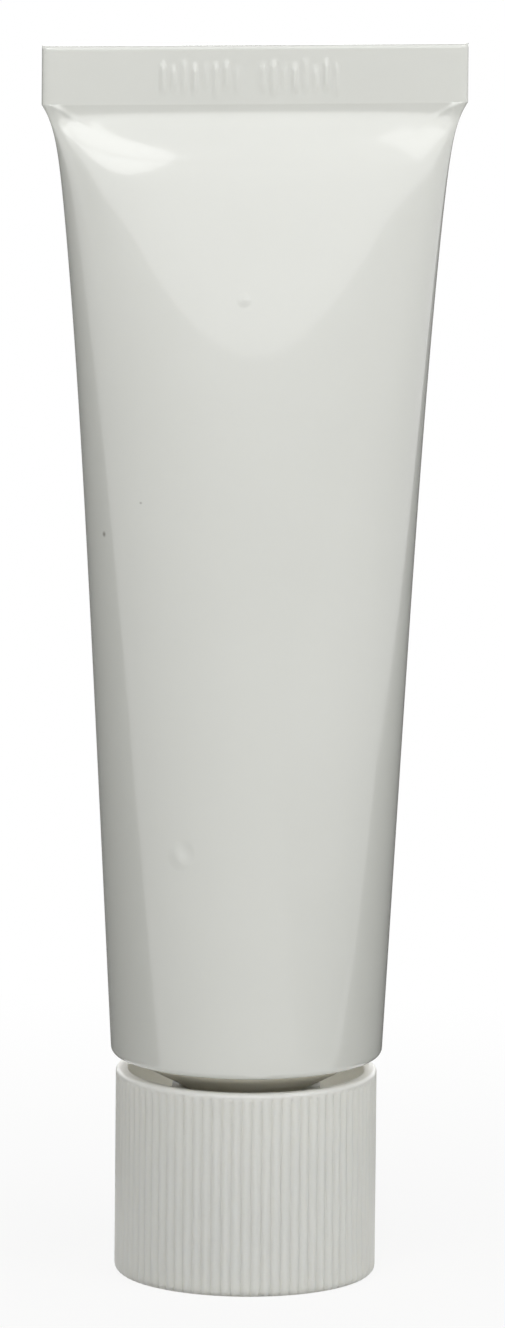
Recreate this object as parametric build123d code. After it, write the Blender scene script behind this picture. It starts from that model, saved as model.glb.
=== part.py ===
from build123d import *
from math import cos, pi, radians, sin, sqrt, tan
import os

# A full squeeze tube of cream, standing on its wide ribbed screw cap.
# Millimetres. +Z is the axis of the tube, with the flat sealed end at the top, wide along X.
# The origin is the centre of the cap's closed end, which is the face that the tube stands on.

# The sleeve: a round tube of laminate, pressed flat and welded at its far end
SLEEVE_DIAMETER = 25.0
SLEEVE_WALL = 0.55
SLEEVE_LENGTH = 94.6        # from the edge at the head to the end of the seal
SEAL_HEIGHT = 5.5
SHOULDER_ROUND = 1.1        # radius where the sleeve turns in over the head

# How the sleeve widens from the head to the seal, as shares of the whole growth.
# The even share grows in step with the height, the late one near the top,
# and the rest comes at once beside the seal, where the full tube is pinched flat.
EVEN_SHARE = 0.68
LATE_SHARE = 0.17
LATE_POWER = 5
PINCH_POWER = 45
SECTION_COUNT = 14
SECTION_CROWDING = 2.2      # draws the sections together towards the seal

# The head: a cone with a neck, moulded in one and welded into the sleeve
SHOULDER_ANGLE = 27.5       # fall of the cone below level, towards the neck
HEAD_WALL = 1.1
HEAD_RIM_HEIGHT = 3.0       # ring inside the sleeve, above the sleeve's edge
NECK_RADIUS = 5.65          # over the crests of the screw thread
NECK_WALL = 1.4
NECK_LENGTH = 8.5
MOUTH_RADIUS = 2.5          # the hole that the cream comes out of
MOUTH_WALL = 1.2
MOUTH_CHAMFER = 0.4

# The cap: a ribbed skirt around a threaded inner sleeve, on one closed end
CAP_HEIGHT = 19.2
CAP_INSET = 0.45            # from the sleeve's round in to the crests of the cap's ribs
CAP_WALL = 0.95             # behind the grooves between the ribs
CAP_END_THICKNESS = 1.3
CAP_END_ROUND = 0.7
CAP_RIM_ROUND = 0.35
RIB_COUNT = 80
RIB_DEPTH = 0.2
INNER_SLEEVE_WALL = 1.1
WEB_THICKNESS = 1.0         # cross web that backs the sealing wad

# The sealing wad: a soft disc that the neck presses onto the cap's cross web
WAD_THICKNESS = 1.2

# Clearances
RIM_GAP = 1.4               # height between the cap's rim and the sleeve's edge
THREAD_CLEARANCE = 0.1      # round the neck, inside the cap
WAD_CLEARANCE = 0.3         # round the wad, inside the cap
CONE_CLEARANCE = 0.7        # height between the inner sleeve's edge and the cone
CREST_SPARE = 0.05          # how far the rounding shape stands clear of the ribs' crests
CUT_SPARE = 1.0             # how far a cutting shape runs past the face that it cuts

# Sizes that follow
sleeve_radius = SLEEVE_DIAMETER / 2
seal_half_width = pi * sleeve_radius / 2
pinch_share = 1 - EVEN_SHARE - LATE_SHARE
sleeve_edge_z = CAP_HEIGHT + RIM_GAP
seal_top_z = sleeve_edge_z + SLEEVE_LENGTH
seal_foot_z = seal_top_z - SEAL_HEIGHT
turn_in_radius = sleeve_radius - SHOULDER_ROUND
head_rim_radius = sleeve_radius - SLEEVE_WALL
head_rim_z = sleeve_edge_z + HEAD_RIM_HEIGHT
neck_bore_radius = NECK_RADIUS - NECK_WALL
cap_radius = sleeve_radius - CAP_INSET


def cone_z(radius):
    """Height of the cone's outer face at a radius."""
    return sleeve_edge_z - (turn_in_radius - radius) * tan(radians(SHOULDER_ANGLE))


def funnel_z(radius):
    """Height of the cone's inner face at a radius, one head wall above the outer face."""
    return cone_z(radius) + HEAD_WALL / cos(radians(SHOULDER_ANGLE))


mouth_z = cone_z(NECK_RADIUS) - NECK_LENGTH
mouth_floor_z = mouth_z + MOUTH_WALL
wad_foot_z = mouth_z - WAD_THICKNESS
cap_bore_radius = NECK_RADIUS + THREAD_CLEARANCE
inner_sleeve_radius = cap_bore_radius + INNER_SLEEVE_WALL
inner_sleeve_top_z = cone_z(inner_sleeve_radius) - CONE_CLEARANCE


def turned(profile):
    """Solid of revolution about the tube's axis, from a closed outline of radius and height."""
    return revolve(make_face(Plane.XZ * profile), Axis.Z)


def half_width(share):
    """Half width of the sleeve at a share of the way from its edge up to the seal."""
    growth = EVEN_SHARE * share + LATE_SHARE * share**LATE_POWER + pinch_share * share**PINCH_POWER
    return sleeve_radius + (seal_half_width - sleeve_radius) * growth


def ellipse_girth(wide, deep):
    """Length round an ellipse, by Ramanujan's second formula."""
    h = ((wide - deep) / (wide + deep)) ** 2
    return pi * (wide + deep) * (1 + 3 * h / (10 + sqrt(4 - 3 * h)))


def half_depth(wide):
    """Half depth that keeps the girth: laminate bends but doesn't stretch."""
    shallow = SLEEVE_WALL
    deep = sleeve_radius
    while deep - shallow > 0.0001:
        middle = (shallow + deep) / 2
        if ellipse_girth(wide, middle) > pi * SLEEVE_DIAMETER:
            deep = middle
        else:
            shallow = middle
    return deep


def sleeve_form():
    """The filled form, from a circle at the head to a flat line at the seal."""
    sections = []
    for number in range(SECTION_COUNT):
        share = 1 - (1 - number / (SECTION_COUNT - 1)) ** SECTION_CROWDING
        wide = half_width(share)
        height = sleeve_edge_z + share * (seal_foot_z - sleeve_edge_z)
        sections.append(Pos(0, 0, height) * Ellipse(wide, half_depth(wide)))
    form = loft(sections)
    edge = form.edges().sort_by(Axis.Z)[0]
    return fillet(edge, SHOULDER_ROUND)


def seal():
    """The flat end: two walls of the sleeve, welded face to face."""
    bar = Box(2 * seal_half_width, 2 * SLEEVE_WALL, SEAL_HEIGHT)
    return Pos(0, 0, (seal_foot_z + seal_top_z) / 2) * bar


def cream_in_head():
    """The part of the filling that stands in the head's funnel and neck."""
    funnel_radius = head_rim_radius - HEAD_WALL
    return turned(
        Polyline(
            (0, mouth_floor_z),
            (neck_bore_radius, mouth_floor_z),
            (neck_bore_radius, funnel_z(neck_bore_radius)),
            (funnel_radius, funnel_z(funnel_radius)),
            (funnel_radius, head_rim_z),
            (0, head_rim_z),
            close=True,
        )
    )


def head():
    """Cone and neck. Its rim ring sits inside the sleeve, whose edge butts on a step in the cone."""
    funnel_radius = head_rim_radius - HEAD_WALL
    step_top = (turn_in_radius, sleeve_edge_z + SLEEVE_WALL)
    rim_foot = (head_rim_radius, sleeve_edge_z + SHOULDER_ROUND)
    outside = Polyline(
        (MOUTH_RADIUS, mouth_z),
        (NECK_RADIUS - MOUTH_CHAMFER, mouth_z),
        (NECK_RADIUS, mouth_z + MOUTH_CHAMFER),
        (NECK_RADIUS, cone_z(NECK_RADIUS)),
        (turn_in_radius, sleeve_edge_z),
        step_top,
    )
    corner = RadiusArc(step_top, rim_foot, -(SHOULDER_ROUND - SLEEVE_WALL))
    inside = Polyline(
        rim_foot,
        (head_rim_radius, head_rim_z),
        (funnel_radius, head_rim_z),
        (funnel_radius, funnel_z(funnel_radius)),
        (neck_bore_radius, funnel_z(neck_bore_radius)),
        (neck_bore_radius, mouth_floor_z),
        (MOUTH_RADIUS, mouth_floor_z),
        (MOUTH_RADIUS, mouth_z),
    )
    return turned(outside + corner + inside)


def filled_sleeve():
    """Sleeve and cream as one solid, because nothing shows between them."""
    return sleeve_form() + seal() + cream_in_head() - head()


def ribbed_outline():
    """Ring of shallow rounded ribs that meet in sharp grooves."""
    root_radius = cap_radius - RIB_DEPTH

    def place(radius, steps):
        angle = 2 * pi * steps / RIB_COUNT
        return (radius * cos(angle), radius * sin(angle))

    ribs = [
        ThreePointArc(place(root_radius, rib - 0.5), place(cap_radius, rib), place(root_radius, rib + 0.5))
        for rib in range(RIB_COUNT)
    ]
    return make_face(ribs)


def ribbed_block():
    """Solid block with the cap's ribs, its two ends rounded off."""
    outer_radius = cap_radius + CREST_SPARE
    silhouette = make_face(
        Plane.XZ * Polyline((0, 0), (outer_radius, 0), (outer_radius, CAP_HEIGHT), (0, CAP_HEIGHT), close=True)
    )
    for corner, radius in ((0, CAP_END_ROUND), (1, CAP_RIM_ROUND)):
        outer_corners = silhouette.vertices().group_by(Axis.Z)[-corner].sort_by(Axis.X)
        silhouette = fillet(outer_corners[-1], radius)
    return extrude(ribbed_outline(), CAP_HEIGHT) & revolve(silhouette, Axis.Z)


def cap_hollow():
    """Bore for the neck, and the ring-shaped space between the inner sleeve and the skirt."""
    floor_z = CAP_END_THICKNESS
    past_rim_z = CAP_HEIGHT + CUT_SPARE
    skirt_radius = cap_radius - RIB_DEPTH - CAP_WALL
    return turned(
        Polyline(
            (0, floor_z),
            (cap_bore_radius, floor_z),
            (cap_bore_radius, inner_sleeve_top_z),
            (inner_sleeve_radius, inner_sleeve_top_z),
            (inner_sleeve_radius, floor_z),
            (skirt_radius, floor_z),
            (skirt_radius, past_rim_z),
            (0, past_rim_z),
            close=True,
        )
    )


def cross_web():
    """Two crossed walls in the foot of the bore, level with the wad's underside."""
    height = wad_foot_z - CAP_END_THICKNESS
    wall = Box(2 * cap_bore_radius + INNER_SLEEVE_WALL, WEB_THICKNESS, height)
    return Pos(0, 0, CAP_END_THICKNESS + height / 2) * (wall + Rot(0, 0, 90) * wall)


def cap():
    return ribbed_block() - cap_hollow() + cross_web()


def sealing_wad():
    disc = Cylinder(cap_bore_radius - WAD_CLEARANCE, WAD_THICKNESS)
    return Pos(0, 0, wad_foot_z + WAD_THICKNESS / 2) * disc


os.makedirs("parts", exist_ok=True)
export_step(filled_sleeve(), "parts/filled_sleeve.step")
export_step(head(), "parts/head.step")
export_step(sealing_wad(), "parts/sealing_wad.step")
export_step(cap(), "parts/cap.step")
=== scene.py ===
# %% [markdown]
# A full tube of cream stands on its wide ribbed cap. The CAD model is the frame: it says where
# every piece is and how it moves, and this file only gives the pieces their looks. So the first
# step loads that frame.

from math import cos, pi, radians, sin, tan

import bpy
import numpy as np
from mathutils import Matrix, Vector


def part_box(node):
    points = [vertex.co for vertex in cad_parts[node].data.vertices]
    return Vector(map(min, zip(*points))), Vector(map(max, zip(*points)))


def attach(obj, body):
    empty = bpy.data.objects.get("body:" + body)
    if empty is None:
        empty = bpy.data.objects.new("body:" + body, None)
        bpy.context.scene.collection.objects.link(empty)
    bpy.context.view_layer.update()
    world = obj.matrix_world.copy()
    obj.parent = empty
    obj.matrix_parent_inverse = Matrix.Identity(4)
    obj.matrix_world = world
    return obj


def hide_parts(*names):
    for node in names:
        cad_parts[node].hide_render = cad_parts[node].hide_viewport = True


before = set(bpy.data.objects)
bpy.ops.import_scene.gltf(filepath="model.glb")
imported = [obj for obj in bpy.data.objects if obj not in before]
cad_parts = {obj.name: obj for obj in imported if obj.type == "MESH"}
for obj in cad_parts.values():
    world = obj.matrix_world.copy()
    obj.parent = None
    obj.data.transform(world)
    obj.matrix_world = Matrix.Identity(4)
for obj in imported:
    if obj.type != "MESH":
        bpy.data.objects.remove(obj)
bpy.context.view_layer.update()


# %% [markdown]
# Everything is in metres, so lengths are written in millimetres times one named factor. Most
# sizes are read from the boxes of the CAD nodes. A few, such as the walls, are inside the solids
# and are written here again. The sleeve is a round tube pressed flat, so the seal is as wide as
# half of the girth, and that gives the radius of the round end.

# %% Sizes of the sleeve
MM = 0.001
sleeve_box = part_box("filled_sleeve")
seal_half_width = sleeve_box[1][0]
sleeve_radius = 2 * seal_half_width / pi
sleeve_wall = 0.55 * MM
seal_top_z = sleeve_box[1][2]
seal_height = 5.5 * MM
seal_foot_z = seal_top_z - seal_height
sleeve_edge_round = 0.6 * MM
print("sleeve radius", round(sleeve_radius / MM, 3), "mm, seal", round(seal_height / MM, 2), "mm tall")

# %% [markdown]
# The head sits inside the sleeve's lower end: a rim ring, a cone that falls towards the neck, and
# the neck itself, which points down into the cap. The sleeve's edge butts on a step in the cone.

# %% Sizes of the head
head_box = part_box("head")
head_rim_radius = head_box[1][0]
head_rim_z = head_box[1][2]
head_rim_height = 3.0 * MM
head_wall = 1.1 * MM
sleeve_edge_z = head_rim_z - head_rim_height
shoulder_round = 1.1 * MM
turn_in_radius = sleeve_radius - shoulder_round
shoulder_slope = tan(radians(27.5))

mouth_z = head_box[0][2]
mouth_radius = 2.5 * MM
mouth_wall = 1.2 * MM
neck_radius = 5.65 * MM
neck_wall = 1.4 * MM
neck_chamfer = 0.3 * MM
thread_pitch = 2.0 * MM
thread_depth = 0.6 * MM
print("the sleeve's edge is", round(sleeve_edge_z / MM, 2), "mm up, the mouth", round(mouth_z / MM, 2))

# %% [markdown]
# The cap is a cup round the neck, with an inner sleeve for the thread. The tube stands on its
# closed end, at height zero. The sealing wad lies between the neck's mouth and the cap.

# %% Sizes of the cap
cap_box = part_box("cap")
wad_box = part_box("sealing_wad")
cap_radius = cap_box[1][0]
cap_height = cap_box[1][2]
cap_wall = 0.95 * MM
cap_end_thickness = 1.3 * MM
cap_end_round = 0.7 * MM
cap_rim_round = 0.35 * MM
cap_lip_round = 0.25 * MM
rib_count = 80
rib_depth = 0.2 * MM
cap_bore_radius = neck_radius + 0.1 * MM
inner_sleeve_radius = cap_bore_radius + 1.1 * MM
inner_sleeve_gap = 0.7 * MM
half_web = 0.5 * MM
web_reach = cap_bore_radius + 0.3 * MM
print("cap radius", round(cap_radius / MM, 3), "mm, height", round(cap_height / MM, 3), "mm")

# %% [markdown]
# One helper makes every surface. A surface is a grid of points: each row is a closed ring, and
# the rows follow each other like the hoops of a barrel. The helper joins neighbouring rings with
# four-sided faces and closes both ends with a fan of triangles around a middle point, so that the
# mesh is watertight. Whole numpy arrays go into the mesh at once, which is fast and keeps the
# shape readable as a formula.

# %% A mesh from rings of points
def ring_faces(rows, columns):
    """Corner numbers of the four-sided faces between rings and of the two end fans."""
    row, column = np.meshgrid(np.arange(rows - 1), np.arange(columns), indexing="ij")
    here, after = row * columns + column, row * columns + (column + 1) % columns
    quads = np.stack([here, after, after + columns, here + columns], axis=-1).reshape(-1, 4)
    ring = np.arange(columns)
    ring_after = (ring + 1) % columns
    top = (rows - 1) * columns
    start_fan = np.stack([ring_after, ring, np.full(columns, rows * columns)], axis=-1)
    end_fan = np.stack([top + ring, top + ring_after, np.full(columns, rows * columns + 1)], axis=-1)
    return quads, np.concatenate([start_fan, end_fan])


def ring_mesh(name, rings, sharp_degrees=40.0):
    """Closed surface through an array of rings, shaped (rows, columns, 3), bottom pole first."""
    rows, columns, _ = rings.shape
    poles = [rings[0].mean(axis=0), rings[-1].mean(axis=0)]
    points = np.concatenate([rings.reshape(-1, 3), poles])
    quads, fans = ring_faces(rows, columns)
    corners = np.concatenate([quads.ravel(), fans.ravel()])
    corner_counts = np.concatenate([np.full(len(quads), 4), np.full(len(fans), 3)])
    starts = np.concatenate([[0], np.cumsum(corner_counts)[:-1]])

    mesh = bpy.data.meshes.new(name)
    mesh.vertices.add(len(points))
    mesh.vertices.foreach_set("co", points.astype(np.float32).ravel())
    mesh.loops.add(len(corners))
    mesh.loops.foreach_set("vertex_index", corners.astype(np.int32))
    mesh.polygons.add(len(starts))
    mesh.polygons.foreach_set("loop_start", starts.astype(np.int32))
    mesh.update(calc_edges=True)
    mesh.polygons.foreach_set("use_smooth", np.ones(len(starts), dtype=bool))
    mesh.set_sharp_from_angle(angle=radians(sharp_degrees))
    mesh.validate()
    piece = bpy.data.objects.new(name, mesh)
    bpy.context.scene.collection.objects.link(piece)
    print(name, "has", len(starts), "faces,", 2 * len(quads) + len(fans), "triangles")
    return piece


# %% [markdown]
# Three small tools draw the outlines. An arc rounds a corner of a profile. Turned rings carry a
# profile of radius and height round the axis. The soft step rises smoothly from 0 to 1, and most
# details below fade in and out with it.

# %% Tools for outlines
def arc(centre, radius, start_degrees, end_degrees, count):
    """Points on a circular arc, as an array of (radius, height) pairs."""
    angle = np.radians(np.linspace(start_degrees, end_degrees, count))
    return np.stack([centre[0] + radius * np.cos(angle), centre[1] + radius * np.sin(angle)], axis=-1)


def turned_rings(radius, height, angle):
    """Rings x = radius cos(angle), y = radius sin(angle), z = height."""
    radius, height, angle = np.broadcast_arrays(radius, height, angle)
    return np.stack([radius * np.cos(angle), radius * np.sin(angle), height], axis=-1)


def soft_step(value, width):
    """0 below zero, 1 above the width, and 3s^2 - 2s^3 between, where s = value / width."""
    s = np.clip(value / width, 0, 1)
    return s * s * (3 - 2 * s)


# %% [markdown]
# The sleeve is one sheet rolled into a tube, round at the head and welded flat at the top. The
# photograph gives its width: an even growth, a little more near the top, and a last quick pinch
# beside the seal, where the two walls already lie flat on each other and stand out as small fins
# at the corners.

# %% How wide the sleeve is at each height
EVEN_SHARE = 0.68
LATE_SHARE = 0.17
LATE_POWER = 5
PINCH_SHARE = 1 - EVEN_SHARE - LATE_SHARE
PINCH_POWER = 45


def sleeve_growth(share):
    """Growth of the belly and of the fins, for a share of the height from the edge to the seal."""
    belly = EVEN_SHARE * share + LATE_SHARE * share**LATE_POWER
    fins = PINCH_SHARE * share**PINCH_POWER
    return belly, fins


# %% [markdown]
# The sheet bends but can't stretch, so the girth is the same at every height, and the depth
# follows from the width. Each section is a superellipse, and its depth is found by halving an
# interval until the length round the section is the girth.

# %% How deep it is
QUARTER_POINTS = 400
HALVINGS = 40


def section(wide, deep, power, angle):
    """Superellipse: |x/wide|^power + |y/deep|^power = 1, as points over an angle."""
    x = wide * np.sign(np.cos(angle)) * np.abs(np.cos(angle)) ** (2 / power)
    y = deep * np.sign(np.sin(angle)) * np.abs(np.sin(angle)) ** (2 / power)
    return x, y


def depth_for_girth(wide, power, girth):
    """Half depth of each section, from four times the length of its quarter."""
    angle = np.linspace(0, pi / 2, QUARTER_POINTS)[None, :]
    shallow = np.zeros_like(wide)
    deep = np.full_like(wide, sleeve_radius)
    for _ in range(HALVINGS):
        middle = (shallow + deep) / 2
        x, y = section(wide[:, None], middle[:, None], power[:, None], angle)
        length = 4 * np.hypot(np.diff(x, axis=1), np.diff(y, axis=1)).sum(axis=1)
        too_long = length > girth
        deep = np.where(too_long, middle, deep)
        shallow = np.where(too_long, shallow, middle)
    return (shallow + deep) / 2


# %% [markdown]
# The columns of the grid aren't evenly spaced. They crowd on the front of the seal, where the
# pressed marks need them, and thin out elsewhere. The spacing comes from a density curve: its
# running sum, turned round with an interpolation, gives the angle of each column.

# %% Columns of the sleeve
COLUMN_COUNT = 400
FRONT_ANGLE = 1.5 * pi
FRONT_REACH = 0.55
FRONT_CROWDING = 2.2

dense_angle = np.linspace(0, 2 * pi, 4001)
front_share = np.exp(-((np.abs(dense_angle - FRONT_ANGLE) / FRONT_REACH) ** 6))
density = 1 + FRONT_CROWDING * front_share
running = np.concatenate([[0], np.cumsum((density[1:] + density[:-1]) / 2)])
column_angle = np.interp(np.arange(COLUMN_COUNT) / COLUMN_COUNT * running[-1], running, dense_angle)
front_columns = int((np.abs(column_angle - FRONT_ANGLE) < FRONT_REACH).sum())
print("columns across the front of the seal:", front_columns)

# %% [markdown]
# The marks pressed into the seal are plain upright strokes in two groups, such as the jaws of a
# welding tool leave. Each stroke is a low rounded bar. Its mask is one soft pulse across and one
# along the stroke, so the whole row is one formula in x and z. Sines of the stroke's number vary
# the strength, the length and the height, so that no two are alike.

# %% Strokes pressed into the seal
STROKE_PITCH = 0.97 * MM
STROKE_WIDTH = 0.74 * MM
STROKE_HEIGHT = 0.17 * MM
STROKE_LENGTH = 4.0 * MM
STROKE_MIDDLE = 3.0 * MM
STROKE_SHIFT = 0.2 * MM
STROKE_SIDE_FADE = 0.32 * MM
STROKE_END_FADE = 1.2 * MM
STROKE_GROUPS = ((-9.0 * MM, 8), (0.2 * MM, 8))


def stroke_relief(x, z):
    """Height of the strokes: a pulse in x times a pulse in z times the stroke's own strength."""
    down = seal_top_z - z
    relief = np.zeros_like(x)
    for start, count in STROKE_GROUPS:
        step = (x - start) / STROKE_PITCH
        number = np.floor(step)
        inside = (number >= 0) & (number < count)
        strength = 0.75 + 0.25 * np.sin(2.4 * number + 1.3 * start / MM)
        shorter = 0.12 * (1 + np.sin(4.1 * number + start / MM))
        half_length = STROKE_LENGTH / 2 * (1 - shorter)
        middle = STROKE_MIDDLE + STROKE_SHIFT * np.sin(2.9 * number)
        across = (step - number - 0.5) * STROKE_PITCH
        pulse = soft_step(STROKE_WIDTH / 2 - np.abs(across), STROKE_SIDE_FADE)
        along = soft_step(half_length - np.abs(down - middle), STROKE_END_FADE)
        relief = relief + np.where(inside, pulse * strength * along, 0)
    return STROKE_HEIGHT * relief


# %% [markdown]
# Where the full belly meets the corners of the seal, the stiff sheet buckles into small folds that
# run down and inward. Each fold is a bell curve round a slanting line, and it fades in at the seal
# and out at its own reach. A fold is given by its lean, its height and its reach.

# %% Folds under the corners of the seal
FOLD_START = 1.1 * MM
FOLD_WIDTH = 0.42 * MM
FOLD_FADE = 0.4 * MM
FOLD_REGION = 6 * MM
FOLDS = ((0.35, 0.16 * MM, 3.5 * MM), (1.5, 0.12 * MM, 3.0 * MM))


def fold_relief(x, z):
    """Sum of height * exp(-(distance from the fold's line / width)^2), faded along the fold."""
    down = seal_foot_z - z
    inward = seal_half_width - np.abs(x)
    relief = np.zeros_like(x)
    for lean, height, reach in FOLDS:
        away = (inward - FOLD_START - lean * down) / FOLD_WIDTH
        fade = soft_step(down + FOLD_FADE, 2 * FOLD_FADE) * (1 - soft_step(down, reach))
        relief = relief + height * np.exp(-away**2) * fade
    return relief


# %% [markdown]
# On the side each ring is a superellipse that grows a little squarer towards the seal. The
# thickness of the welded walls is added as a second, very flat outline, and the two outlines are
# joined with a high power, so that the larger one wins and the join is soft. Stiff laminate can't
# fold sharply at the foot of the weld, so the belly starts level with the seal and swells over a
# few millimetres: its depth is multiplied by 1 - exp(-(distance/reach)^1.5).

# %% Rings of the sleeve
CREASE_REACH = 2.6 * MM
CREASE_POWER = 1.5
SQUARER_AT_SEAL = 0.5
FIN_POWER = 6
WELD_RISE_POWER = 40
WELD_END_POWER = 60
JOIN_POWER = 3
side_height = seal_foot_z - sleeve_edge_z


def sleeve_rings_at(share, height):
    """Rings for arrays of shares and heights: y = (belly^3 + weld^3)^(1/3), x widened by the fins."""
    belly, fins = sleeve_growth(share)
    spread = seal_half_width - sleeve_radius
    wide = sleeve_radius + spread * belly
    fin = spread * fins
    power = 2 + SQUARER_AT_SEAL * share**3
    deep = depth_for_girth(wide, power, 2 * pi * sleeve_radius - 4 * fin)
    below_seal = (1 - share) * side_height
    deep = deep * (1 - np.exp(-((below_seal / CREASE_REACH) ** CREASE_POWER)))
    angle = column_angle[None, :]
    x, y = section(wide[:, None], deep[:, None], power[:, None], angle)
    endness = np.abs(np.cos(angle))
    x = x + fin[:, None] * np.sign(np.cos(angle)) * endness**FIN_POWER
    weld = sleeve_wall * share[:, None] ** WELD_RISE_POWER * np.sqrt(1 - endness**WELD_END_POWER)
    y = np.sign(np.sin(angle)) * (np.abs(y) ** JOIN_POWER + weld**JOIN_POWER) ** (1 / JOIN_POWER)
    return np.stack([x, y, np.broadcast_to(height[:, None], x.shape)], axis=-1)


# %% [markdown]
# The side takes most of the rows, closer together towards the seal. Below it the cut edge of the
# sleeve turns in round a small radius to the hidden middle. The turned-in rings are circles, and
# they are scaled step by step so that the last one fits the first ring of the side.

# %% The side and the lower edge
SIDE_ROWS = 150
ROW_CROWDING = 2.0
EDGE_ROWS = 12
POLE_RADIUS = 0.3 * MM

first_share = sleeve_edge_round / side_height
side_step = np.linspace(0, 1, SIDE_ROWS)
side_share = first_share + (1 - first_share) * (1 - (1 - side_step) ** ROW_CROWDING)
side = sleeve_rings_at(side_share, sleeve_edge_z + side_share * side_height)
near_top = side[:, :, 2] > seal_foot_z - FOLD_REGION
folds = np.sign(side[:, :, 1]) * fold_relief(side[:, :, 0], side[:, :, 2])
side[:, :, 1] += np.where(near_top, folds, 0)

edge_top = sleeve_edge_z + sleeve_wall
hidden = turned_rings(np.array([[POLE_RADIUS], [turn_in_radius]]), edge_top, column_angle)
edge_centre = (sleeve_radius - sleeve_edge_round, sleeve_edge_z + sleeve_edge_round)
turned_edge = np.concatenate(
    [[[turn_in_radius, sleeve_edge_z]], arc(edge_centre, sleeve_edge_round, -90, 0, EDGE_ROWS)[:-1]]
)
edge = turned_rings(turned_edge[:, 0, None], turned_edge[:, 1, None], column_angle)
blend = (np.arange(len(turned_edge)) / len(turned_edge))[:, None, None]
first_radius = np.linalg.norm(side[0, :, :2], axis=1)[None, :, None]
edge[:, :, :2] = edge[:, :, :2] * (1 + blend * (first_radius / sleeve_radius - 1))
print("rows on the side", SIDE_ROWS, "and round the lower edge", len(turned_edge))

# %% [markdown]
# The seal repeats the last ring upward, with the strokes raised on its front, and a small bevel
# rounds its top. All rings together make one closed piece, kept inside the box of the CAD node.

# %% The seal and the whole sleeve
SEAL_ROWS = 56
SEAL_EDGE_ROUND = 0.32 * MM
BEVEL_ROWS = 6
FLAT_SHARE = 0.8

seal_z = np.linspace(seal_foot_z, seal_top_z - SEAL_EDGE_ROUND, SEAL_ROWS)[1:]
seal = sleeve_rings_at(np.ones(len(seal_z)), seal_z)
front = (seal[:, :, 1] < -FLAT_SHARE * sleeve_wall) & (np.abs(seal[:, :, 0]) < seal_half_width)
seal[:, :, 1] -= np.where(front, stroke_relief(seal[:, :, 0], seal[:, :, 2]), 0)

bevel_angle = np.radians(np.linspace(0, 90, BEVEL_ROWS))[1:, None]
bevel = np.repeat(seal[-1:, :, :], len(bevel_angle), axis=0)
inward = SEAL_EDGE_ROUND * (1 - np.cos(bevel_angle))
bevel[:, :, 1] = np.sign(bevel[:, :, 1]) * np.maximum(np.abs(bevel[:, :, 1]) - inward, 0)
bevel[:, :, 2] = seal_top_z - SEAL_EDGE_ROUND + SEAL_EDGE_ROUND * np.sin(bevel_angle)

sleeve_rings = np.concatenate([hidden, edge, side, seal, bevel])
sleeve_rings[:, :, 1] = np.clip(sleeve_rings[:, :, 1], sleeve_box[0][1], sleeve_box[1][1])
sleeve = ring_mesh("sleeve_laminate", sleeve_rings)
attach(sleeve, "tube")
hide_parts("filled_sleeve")

# %% [markdown]
# The head is one moulding: a cone under the sleeve's edge and a neck. Its outline is drawn once,
# from the mouth up the outside of the neck, along the cone, round the rim and back down inside.

# %% Outline of the head
NECK_ROWS = 90


def outer_cone_z(radius):
    """Height of the cone's outer face: it falls by the slope for each step inward."""
    return sleeve_edge_z - (turn_in_radius - radius) * shoulder_slope


def inner_cone_z(radius):
    """Height of the cone's inner face, one wall above the outer one, measured square to it."""
    return outer_cone_z(radius) + head_wall * np.hypot(1, shoulder_slope)


neck_root = neck_radius - thread_depth
neck_bore = neck_radius - neck_wall
funnel_radius = head_rim_radius - head_wall
neck_top_z = outer_cone_z(neck_root)
neck_z = np.linspace(mouth_z + neck_chamfer, neck_top_z, NECK_ROWS)
corner_centre = (turn_in_radius, sleeve_edge_z + shoulder_round)
head_profile = np.concatenate(
    [
        [[mouth_radius, mouth_z + mouth_wall], [mouth_radius, mouth_z]],
        [[neck_root - neck_chamfer, mouth_z]],
        np.stack([np.full(NECK_ROWS, neck_root), neck_z], axis=-1),
        [[turn_in_radius, sleeve_edge_z], [turn_in_radius, sleeve_edge_z + sleeve_wall]],
        arc(corner_centre, shoulder_round - sleeve_wall, -75, 0, 6),
        [[head_rim_radius, head_rim_z], [funnel_radius, head_rim_z]],
        [[funnel_radius, inner_cone_z(funnel_radius)], [neck_bore, inner_cone_z(neck_bore)]],
        [[neck_bore, mouth_z + mouth_wall]],
    ]
)
print("points in the outline of the head:", len(head_profile))

# %% [markdown]
# The thread is a ridge added to the neck's radius. The ridge climbs one pitch for each turn: its
# place on the profile is the height divided by the pitch, less the angle as a share of a turn. It
# climbs anticlockwise seen from above, which is a right-hand thread, and fades at both ends.

# %% The head with its thread
HEAD_COLUMNS = 240
RIDGE_TOP = 1.25
RIDGE_HALF_WIDTH = 0.2
THREAD_FADE = 0.8 * MM
THREAD_START = 0.5 * MM
THREAD_END = 1.6 * MM

head_angle = np.linspace(0, 2 * pi, HEAD_COLUMNS, endpoint=False)[None, :]
head_radius, head_z = head_profile[:, 0, None], head_profile[:, 1, None]
turn = (head_z / thread_pitch - head_angle / (2 * pi)) % 1
ridge = np.clip(RIDGE_TOP - np.abs(turn - 0.5) / RIDGE_HALF_WIDTH, 0, 1)
on_neck = np.isclose(head_radius, neck_root, rtol=0, atol=0.001 * MM)
fade_in = np.clip((head_z - mouth_z - THREAD_START) / THREAD_FADE, 0, 1)
fade_out = np.clip((neck_top_z - THREAD_END - head_z) / THREAD_FADE, 0, 1)
head_radius = head_radius + thread_depth * ridge * on_neck * fade_in * fade_out
head = ring_mesh("threaded_head", turned_rings(head_radius, head_z, head_angle), sharp_degrees=30)
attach(head, "tube")
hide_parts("head")

# %% [markdown]
# The cap is a moulded cup. Its outline goes from the middle of the closed end, up the outside, over
# the rim, down the inside and round the inner sleeve to the floor of the bore.

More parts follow.
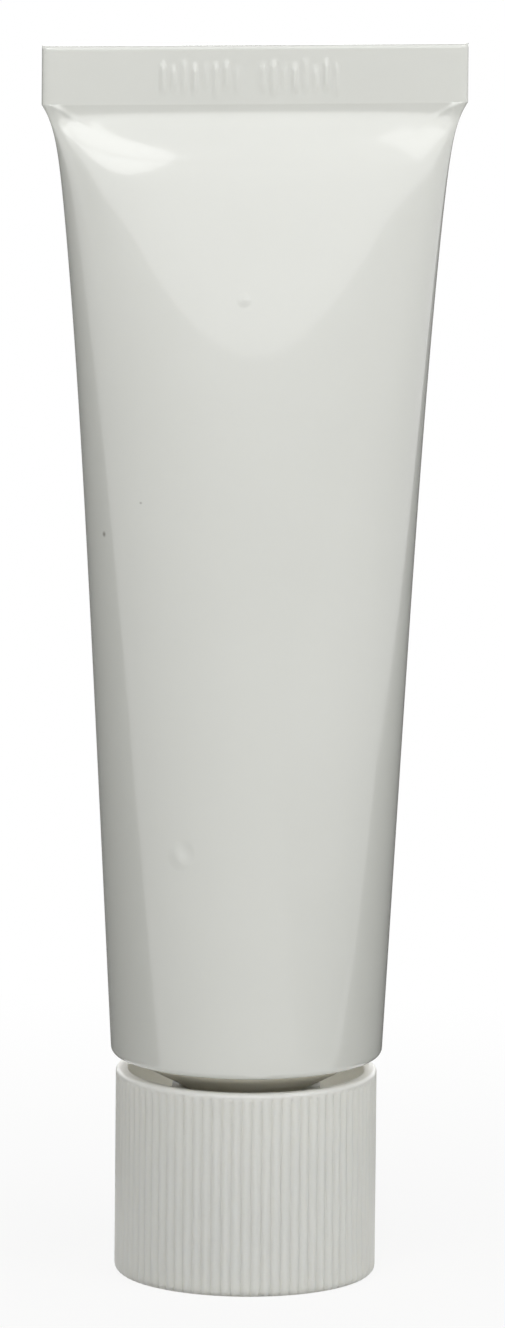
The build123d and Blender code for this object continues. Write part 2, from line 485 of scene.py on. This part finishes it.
# %% Outline of the cap
CAP_POLE_RADIUS = 0.2 * MM
RIB_RUN_OUT = 0.4 * MM

wall_radius = cap_radius - rib_depth - cap_wall
inner_top_z = outer_cone_z(inner_sleeve_radius) - inner_sleeve_gap
rim_foot_z = cap_height - cap_rim_round
rib_end_z = rim_foot_z - RIB_RUN_OUT
side_z = np.concatenate(
    [np.linspace(cap_end_round, rib_end_z, 8)[1:], np.linspace(rib_end_z, rim_foot_z, 7)[1:-1]]
)
outside = np.concatenate(
    [
        [[CAP_POLE_RADIUS, 0.0]],
        arc((cap_radius - cap_end_round, cap_end_round), cap_end_round, -90, 0, 9),
        np.stack([np.full(len(side_z), cap_radius), side_z], axis=-1),
        arc((cap_radius - cap_rim_round, rim_foot_z), cap_rim_round, 0, 90, 7),
    ]
)
inside = np.concatenate(
    [
        arc((wall_radius + cap_lip_round, cap_height - cap_lip_round), cap_lip_round, 90, 180, 5),
        [[wall_radius, cap_end_thickness], [inner_sleeve_radius, cap_end_thickness]],
        [[inner_sleeve_radius, inner_top_z], [cap_bore_radius, inner_top_z]],
        [[cap_bore_radius, cap_end_thickness], [CAP_POLE_RADIUS, cap_end_thickness]],
    ]
)
cap_profile = np.concatenate([outside, inside])
print("points in the outline of the cap:", len(cap_profile))

# %% [markdown]
# The ribs for the fingers are a wave of the angle: the absolute value of a cosine is round at its
# crests and sharp in its grooves, as the real ribs are. They run out below the rim, which stays
# plain, and on the rounded corner of the closed end.

# %% The cap with its ribs
CAP_COLUMNS_PER_RIB = 12
RIB_FOOT_INSET = 0.55 * MM
RIB_FOOT_FADE = 0.45 * MM

cap_angle = np.linspace(0, 2 * pi, rib_count * CAP_COLUMNS_PER_RIB, endpoint=False)[None, :]
groove = 1 - np.abs(np.cos(rib_count / 2 * cap_angle))
ribbed = soft_step(cap_profile[:, 0] - (cap_radius - RIB_FOOT_INSET), RIB_FOOT_FADE)
ribbed = ribbed * soft_step(rim_foot_z - cap_profile[:, 1], RIB_RUN_OUT)
ribbed[len(outside):] = 0
ribbed_radius = cap_profile[:, 0, None] - rib_depth * groove * ribbed[:, None]
cap_rings = turned_rings(ribbed_radius, cap_profile[:, 1, None], cap_angle)
cap = ring_mesh("ribbed_cap", cap_rings, sharp_degrees=50)
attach(cap, "cap")
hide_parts("cap")

# %% [markdown]
# In the foot of the cap's bore two crossed walls hold up the wad. The cross is one outline of
# twelve corners, drawn anticlockwise, at the height of the cap's floor and again under the wad.

# %% The cross web in the cap
quarter = np.array([[web_reach, -half_web], [web_reach, half_web], [half_web, half_web]])
quarter_turn = np.array([[0, 1], [-1, 0]])
cross = np.concatenate([quarter @ np.linalg.matrix_power(quarter_turn, n) for n in range(4)])
web_rings = np.stack(
    [np.column_stack([cross, np.full(len(cross), z)]) for z in (cap_end_thickness, wad_box[0][2])]
)
web = ring_mesh("cap_cross_web", web_rings)
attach(web, "cap")

# %% [markdown]
# Colours are written as the hex values that a picture shows and turned to linear light by one
# function, because Blender's shaders add up light. One small helper adds a node with its settings
# and its links, so that a material reads as a list.

# %% Helpers for materials
def linear(hex_colour):
    """sRGB hex to linear: c/12.92 for dark channels, else ((c + 0.055)/1.055)^2.4; then alpha 1."""
    channels = [int(hex_colour[i:i + 2], 16) / 255 for i in (1, 3, 5)]
    return [c / 12.92 if c <= 0.04045 else ((c + 0.055) / 1.055) ** 2.4 for c in channels] + [1.0]


def add_node(tree, kind, settings=None, **links):
    """A node with settings by attribute or input name; a link's value is another node's output."""
    node = tree.nodes.new(kind)
    for key, value in (settings or {}).items():
        if key in node.inputs:
            node.inputs[key].default_value = value
        else:
            setattr(node, key, value)
    for key, output in links.items():
        socket = node.inputs[int(key[1:])] if key[1:].isdigit() else node.inputs[key]
        tree.links.new(output, socket)
    return node


def new_material(name):
    """An empty material and its node tree."""
    material = bpy.data.materials.new(name)
    material.use_nodes = True
    material.node_tree.nodes.clear()
    return material, material.node_tree


def finish_material(material, tree, shader):
    """Shows the shader on the material's surface."""
    add_node(tree, "ShaderNodeOutputMaterial", Surface=shader.outputs[0])
    print("material", material.name)
    return material


# %% [markdown]
# A few nodes come again and again. Noise is set by the size of its blotches in metres, because it
# uses the object's own coordinates. A bump tilts the surface by the slope of a height.

# %% Helpers for patterns
def combine(tree, operation, first, second):
    """One number from two, by an operation such as MAXIMUM."""
    node = add_node(tree, "ShaderNodeMath", {"operation": operation}, _0=first, _1=second)
    return node.outputs["Value"]


def noise(tree, place, size, detail):
    """A value that wanders between 0 and 1 over a length."""
    node = add_node(tree, "ShaderNodeTexNoise", {"Scale": 1 / size, "Detail": detail}, Vector=place)
    return node.outputs["Fac"]


def bump(tree, height, strength, depth, **below):
    """A normal tilted by strength times depth times the slope of the height."""
    settings = {"Strength": strength, "Distance": depth}
    return add_node(tree, "ShaderNodeBump", settings, Height=height, **below).outputs["Normal"]


def mix_colours(tree, share, first, second):
    """(1 - share) * first + share * second; a colour is a constant or a node's output."""
    node = add_node(tree, "ShaderNodeMix", {"data_type": "RGBA"}, _0=share)
    for socket, colour in ((node.inputs[6], first), (node.inputs[7], second)):
        if isinstance(colour, bpy.types.NodeSocket):
            tree.links.new(colour, socket)
        else:
            socket.default_value = colour
    return node.outputs[2]


# %% [markdown]
# The sleeve is a laminate with a glossy polyethylene skin, extruded and calendered smooth. The eye
# sees broad soft reflections with crisp edges. They waver a little, because the full sleeve isn't
# perfectly even, and the skin has a faint grain like orange peel.

# %% Glossy white laminate: colour and grain
LAMINATE_WHITE = linear("#C8C9C4")
LAMINATE_SHADE = linear("#C4C5C0")
WAVER_LENGTH = 14 * MM
WAVER_DEPTH = 0.10 * MM
PEEL_GRAIN = 0.35 * MM
PEEL_DEPTH = 0.006 * MM

laminate, tree = new_material("glossy_white_laminate")
place = add_node(tree, "ShaderNodeTexCoord").outputs["Object"]
waver = noise(tree, place, WAVER_LENGTH, 1.0)
peel = noise(tree, place, PEEL_GRAIN, 2.0)
tint = mix_colours(tree, waver, LAMINATE_WHITE, LAMINATE_SHADE)
waver_normal = bump(tree, waver, 1.0, WAVER_DEPTH)
peel_normal = bump(tree, peel, 0.25, PEEL_DEPTH, Normal=waver_normal)

# %% [markdown]
# A few small marks show that the tube has been handled: a crescent dent, as from a fingernail, one
# pimple and two dark specks. Each is a round spot at a place on the sleeve, stretched along some
# axes. The crescent is what is left of one spot when a second, shifted one is taken away.

# %% Marks on the laminate
LAMINATE_SPECK = linear("#6E6A62")
DENT_AT = (-7.15 * MM, -10.2 * MM, 41.2 * MM)
DENT_INNER = (-6.75 * MM, -10.2 * MM, 41.6 * MM)
DENT_STRETCH = (1, 0.3, 0.8)
DENT_DEPTH = 0.14 * MM
PIMPLE_AT = (-1.4 * MM, -7.0 * MM, 92.6 * MM)
PIMPLE_HEIGHT = 0.1 * MM
SPECK_LEFT = (-13.9 * MM, -4.6 * MM, 70.3 * MM)
SPECK_RIGHT = (-10.75 * MM, -7.5 * MM, 73.7 * MM)


def spot(tree, place, at, radius, stretch):
    """1 at a place, falling smoothly to 0 where |stretch * (point - place)| reaches the radius."""
    moved = add_node(tree, "ShaderNodeVectorMath", {"operation": "SUBTRACT"}, _0=place)
    moved.inputs[1].default_value = at
    scaled = add_node(tree, "ShaderNodeVectorMath", {"operation": "MULTIPLY"}, _0=moved.outputs[0])
    scaled.inputs[1].default_value = stretch
    far = add_node(tree, "ShaderNodeVectorMath", {"operation": "LENGTH"}, _0=scaled.outputs[0])
    settings = {"interpolation_type": "SMOOTHSTEP", "From Max": radius, "To Min": 1.0, "To Max": 0.0}
    fall = add_node(tree, "ShaderNodeMapRange", settings, Value=far.outputs["Value"])
    return fall.outputs["Result"]


dent_outer = spot(tree, place, DENT_AT, 1.2 * MM, DENT_STRETCH)
dent_inner = spot(tree, place, DENT_INNER, 1.0 * MM, DENT_STRETCH)
crescent = combine(tree, "SUBTRACT", dent_outer, dent_inner)
dent_normal = bump(tree, crescent, 1.0, DENT_DEPTH, Normal=peel_normal)
pimple = spot(tree, place, PIMPLE_AT, 0.8 * MM, (1, 0.3, 1))
pimple_normal = bump(tree, pimple, 1.0, PIMPLE_HEIGHT, Normal=dent_normal)
left_speck = spot(tree, place, SPECK_LEFT, 0.2 * MM, (1, 0.1, 0.5))
right_speck = spot(tree, place, SPECK_RIGHT, 0.2 * MM, (1, 0.1, 1))
specks = combine(tree, "MAXIMUM", left_speck, right_speck)
spotted = mix_colours(tree, specks, tint, LAMINATE_SPECK)

# %% [markdown]
# The body of the laminate is milky: light goes a little way in, which softens the shading. Its
# gloss has two layers, a crisp one on top for the edges of the reflections and a softer one under
# it for the glow around them.

# %% The laminate's shader
shader = add_node(
    tree, "ShaderNodeBsdfPrincipled",
    {
        "Roughness": 0.18, "IOR": 1.5, "Coat Weight": 0.8, "Coat Roughness": 0.03,
        "Subsurface Weight": 0.2, "Subsurface Scale": 1.5 * MM, "Subsurface Radius": (1.0, 0.97, 0.92),
    },
    Normal=pimple_normal,
)
tree.links.new(spotted, shader.inputs["Base Color"])
sleeve.data.materials.append(finish_material(laminate, tree, shader))

# %% [markdown]
# The cap is moulded polypropylene, cream white and satin: the mould was finely blasted, so the
# reflections are broad and dull. The head is natural polyethylene, a little waxy. The wad is white
# foamed polyethylene with fine closed cells. All three let light in, each to its own depth.

# %% Satin plastics
def satin_plastic(name, light, dark, roughness, grain, grain_depth, blotch, light_depth):
    """Moulded plastic: a blasted grain, a drift between two near colours, light that goes in."""
    material, nodes = new_material(name)
    where = add_node(nodes, "ShaderNodeTexCoord").outputs["Object"]
    colour = mix_colours(nodes, noise(nodes, where, blotch, 2.0), linear(light), linear(dark))
    plastic = add_node(
        nodes, "ShaderNodeBsdfPrincipled",
        {
            "Roughness": roughness, "IOR": 1.49, "Subsurface Weight": 1.0,
            "Subsurface Scale": light_depth, "Subsurface Radius": (1.0, 0.96, 0.88),
        },
        Normal=bump(nodes, noise(nodes, where, grain, 2.0), 0.3, grain_depth),
    )
    nodes.links.new(colour, plastic.inputs["Base Color"])
    return finish_material(material, nodes, plastic)


polypropylene = satin_plastic(
    "satin_cream_polypropylene", "#ECEADC", "#E8E6D8",
    roughness=0.36, grain=0.12 * MM, grain_depth=0.01 * MM, blotch=8 * MM, light_depth=6 * MM,
)
polyethylene = satin_plastic(
    "waxy_natural_polyethylene", "#F4F0E2", "#EEEADB",
    roughness=0.42, grain=0.2 * MM, grain_depth=0.01 * MM, blotch=5 * MM, light_depth=0.5 * MM,
)
foam = satin_plastic(
    "white_foamed_polyethylene", "#E8E8E4", "#DEDED8",
    roughness=0.7, grain=0.25 * MM, grain_depth=0.05 * MM, blotch=3 * MM, light_depth=1 * MM,
)
cap.data.materials.append(polypropylene)
web.data.materials.append(polypropylene)
head.data.materials.append(polyethylene)
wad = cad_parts["sealing_wad"]
wad.data.materials.clear()
wad.data.materials.append(foam)

# %% [markdown]
# The camera looks slightly down, with a long lens, so that the sides hardly converge. Its place
# follows from the photograph: the rim of the cap shows as an ellipse a fifth as tall as it is wide,
# which is an angle of about eleven and a half degrees. One millimetre covers the stated number of
# pixels, and that sets the lens for the chosen distance.

# %% Camera
PIXELS_PER_MM = 10.85
PICTURE_HEIGHT = 1328
AIM_HEIGHT = 57.2 * MM
AIM_ASIDE = 0.24 * MM
ELEVATION = 11.5
AZIMUTH = -4.9
ROLL = 0.52
DISTANCE = 2.4


def direction(azimuth, elevation):
    """Unit vector: azimuth in degrees to the right of the front, elevation in degrees above level."""
    turn, rise = radians(azimuth), radians(elevation)
    return Vector((sin(turn) * cos(rise), -cos(turn) * cos(rise), sin(rise)))


camera_data = bpy.data.cameras.new("camera")
camera_data.sensor_fit = "VERTICAL"
camera_data.sensor_height = 24.0
camera_data.lens = camera_data.sensor_height * DISTANCE / (PICTURE_HEIGHT / PIXELS_PER_MM * MM)
camera_data.clip_end = 20.0
camera = bpy.data.objects.new("camera", camera_data)
bpy.context.scene.collection.objects.link(camera)
middle = Vector((0, 0, AIM_HEIGHT))
towards = direction(AZIMUTH, ELEVATION)
look = (-towards).to_track_quat("-Z", "Y").to_matrix().to_4x4()
aim = middle + look.to_3x3() @ Vector((AIM_ASIDE, 0, 0))
roll = Matrix.Rotation(radians(ROLL), 4, "Z")
camera.matrix_world = Matrix.Translation(aim + towards * DISTANCE) @ look @ roll
bpy.context.scene.camera = camera
print("lens", round(camera_data.lens), "mm for a sensor", camera_data.sensor_height, "mm tall")

# %% [markdown]
# The light is a small studio. A glossy thing shows its surroundings, so every lamp is placed for
# what the sleeve reflects. One wide softbox in front, from just above the horizon upward, brightens
# the upper part, which leans back: its lower edge shows as the soft curve a quarter of the way down.
# Two small lamps give the two bright patches under the corners of the seal. A low fill, which the
# gloss doesn't show, reaches under the sleeve and into the gap above the cap. A softbox behind
# lights the back, and shines through the plastic of the rim and the cone.

# %% Lamps
# Each row: name, azimuth, elevation, distance in metres, width and height as degrees seen from the
# tube, brightness against white, shape.
LAMPS = (
    ("wide_front_softbox", 12, 29, 0.38, 100, 42, 1.16, "RECTANGLE"),
    ("overhead_softbox", 5, 70, 0.5, 80, 40, 1.1, "RECTANGLE"),
    ("left_fill", -80, 12, 0.6, 50, 50, 0.4, "RECTANGLE"),
    ("left_highlight", -22, 47, 0.9, 24, 50, 2.1, "ELLIPSE"),
    ("right_highlight", 42, 47, 0.9, 14, 50, 1.2, "ELLIPSE"),
    ("low_fill", 26, 4, 0.8, 80, 10, 2.5, "RECTANGLE"),
    ("back_softbox", 172, 18, 0.6, 90, 44, 1.5, "RECTANGLE"),
)


def softbox(name, azimuth, elevation, distance, wide, tall, radiance, shape):
    """A flat lamp facing the tube; a power of pi times area times radiance looks that bright."""
    data = bpy.data.lights.new(name, "AREA")
    data.shape = shape
    data.size = 2 * distance * tan(radians(wide / 2))
    data.size_y = 2 * distance * tan(radians(tall / 2))
    area = data.size * data.size_y * (pi / 4 if shape == "ELLIPSE" else 1)
    data.energy = pi * area * radiance
    lamp = bpy.data.objects.new(name, data)
    bpy.context.scene.collection.objects.link(lamp)
    lamp.location = middle + distance * direction(azimuth, elevation)
    lamp.rotation_euler = (middle - lamp.location).to_track_quat("-Z", "Y").to_euler()
    print(name, "looks", radiance, "times as bright as white")
    return lamp


lamps = {row[0]: softbox(*row) for row in LAMPS}
lamps["low_fill"].visible_glossy = False
lamps["back_softbox"].visible_camera = False

# %% [markdown]
# The room is white wherever it is seen: straight from the camera, in the gloss or through something
# clear. For all other light it is only a faint grey, so that the lamps shape the tube. One helper
# says which rays show a thing, and the floor below uses it too.

# %% World
def seen_share(tree):
    """1 for the rays that show a thing, else 0."""
    rays = add_node(tree, "ShaderNodeLightPath").outputs
    shown = combine(tree, "MAXIMUM", rays["Is Camera Ray"], rays["Is Glossy Ray"])
    return combine(tree, "MAXIMUM", shown, rays["Is Transmission Ray"])


def mix_shaders(tree, share, first, second):
    """(1 - share) of the first shader and the share of the second."""
    outputs = {"_1": first.outputs[0], "_2": second.outputs[0]}
    return add_node(tree, "ShaderNodeMixShader", _0=share, **outputs)


world = bpy.data.worlds.new("pale_room")
bpy.context.scene.world = world
world.use_nodes = True
tree = world.node_tree
tree.nodes.clear()
room = add_node(tree, "ShaderNodeBackground", {"Color": linear("#DCDCDA"), "Strength": 0.2})
white = add_node(tree, "ShaderNodeBackground", {"Color": (1, 1, 1, 1), "Strength": 1.0})
choose = mix_shaders(tree, seen_share(tree), room, white)
add_node(tree, "ShaderNodeOutputWorld", Surface=choose.outputs[0])
print("world", world.name)

# %% [markdown]
# The floor is a pale matt sheet. Where it is seen or reflected it glows, so that it melts into the
# white background and only the soft shadow at the foot of the cap remains. The glow is a little
# weaker near the cap, where the shadow lies, and complete from a hand's breadth away.

# %% Floor
FLOOR_HALF = 3.0
MELT = {"From Min": 0.02, "From Max": 0.12, "To Min": 0.88, "To Max": 1.0}


def flat_sheet(name, corners, level, material):
    """One face at a level above the floor, from corners in metres."""
    mesh = bpy.data.meshes.new(name)
    mesh.from_pydata([(x, y, level) for x, y in corners], [], [tuple(range(len(corners)))])
    mesh.materials.append(material)
    sheet = bpy.data.objects.new(name, mesh)
    bpy.context.scene.collection.objects.link(sheet)
    return sheet


pale, tree = new_material("pale_matt_floor")
place = add_node(tree, "ShaderNodeTexCoord").outputs["Object"]
reach = add_node(tree, "ShaderNodeVectorMath", {"operation": "LENGTH"}, _0=place)
melt = add_node(tree, "ShaderNodeMapRange", MELT, Value=reach.outputs["Value"])
share = combine(tree, "MULTIPLY", seen_share(tree), melt.outputs["Result"])
matt = add_node(tree, "ShaderNodeBsdfDiffuse", {"Color": linear("#CCCCCA")})
glow = add_node(tree, "ShaderNodeEmission", {"Color": (1, 1, 1, 1), "Strength": 1.0})
finish_material(pale, tree, mix_shaders(tree, share, matt, glow))
floor_corners = [(FLOOR_HALF * x, FLOOR_HALF * y) for x, y in ((-1, -1), (1, -1), (1, 1), (-1, 1))]
flat_sheet("floor", floor_corners, 0, pale)

# %% [markdown]
# The tube widens upward, so its sides look down on the table. Grey cards lie behind it there and
# give the white tube its grey edges: they are painted dark reflections of the table. A white card
# lies on the right and glows, brighter further out: it is a painted bright reflection of the table,
# and its edge shows as the long line down the right side. Only the gloss sees the cards: the camera
# doesn't, and they neither light nor shade anything.

# %% Cards on the table: painted reflections
CARD_LEVEL = 0.5 * MM
BACK_CORNERS = [
    (0.095, -0.039), (0.239, 0.021), (0.313, 0.263), (0.90, 1.90), (0.0, 1.90), (0.0, 0.05),
]
LEFT_CORNERS = [(-0.09, -0.02), (-0.002, 0.05), (-0.002, 1.90), (-1.50, 1.90), (-1.50, -0.02)]
WHITE_CORNERS = [
    (0.10, -0.06), (0.244, 0.015), (0.318, 0.255), (0.55, 0.90),
    (1.40, 0.90), (1.40, -0.90), (0.25, -0.90),
]
BRIGHTER_OUTWARD = {"From Min": 0.05, "From Max": 0.3, "To Min": 0.4, "To Max": 1.2}


def matt_card(name, colour):
    """A card that only scatters light."""
    material, nodes = new_material(name)
    scatter = add_node(nodes, "ShaderNodeBsdfDiffuse", {"Color": linear(colour)})
    return finish_material(material, nodes, scatter)


# The white card glows, and only the gloss sees it: a painted bright reflection, stronger outward.
glowing_reflection_material, tree = new_material("glowing_painted_reflection_card")
place = add_node(tree, "ShaderNodeTexCoord").outputs["Object"]
split = add_node(tree, "ShaderNodeSeparateXYZ", Vector=place)
outward = add_node(tree, "ShaderNodeMapRange", BRIGHTER_OUTWARD, Value=split.outputs["X"])
light = add_node(tree, "ShaderNodeEmission", Strength=outward.outputs["Result"])
finish_material(glowing_reflection_material, tree, light)

# The grey cards paint dark reflections behind and left of the tube, the glowing card a bright one on
# the right.
cards = (
    flat_sheet("back_card", BACK_CORNERS, CARD_LEVEL, matt_card("dark_painted_reflection_card", "#6A6A68")),
    flat_sheet("left_card", LEFT_CORNERS, CARD_LEVEL, matt_card("mid_painted_reflection_card", "#82827F")),
    flat_sheet("white_card", WHITE_CORNERS, CARD_LEVEL, glowing_reflection_material),
)
for card in cards:
    card.visible_camera = False
    card.visible_diffuse = False
    card.visible_shadow = False

# %% [markdown]
# The picture is shown plainly.

# %% Finish
bpy.context.scene.view_settings.view_transform = "Standard"
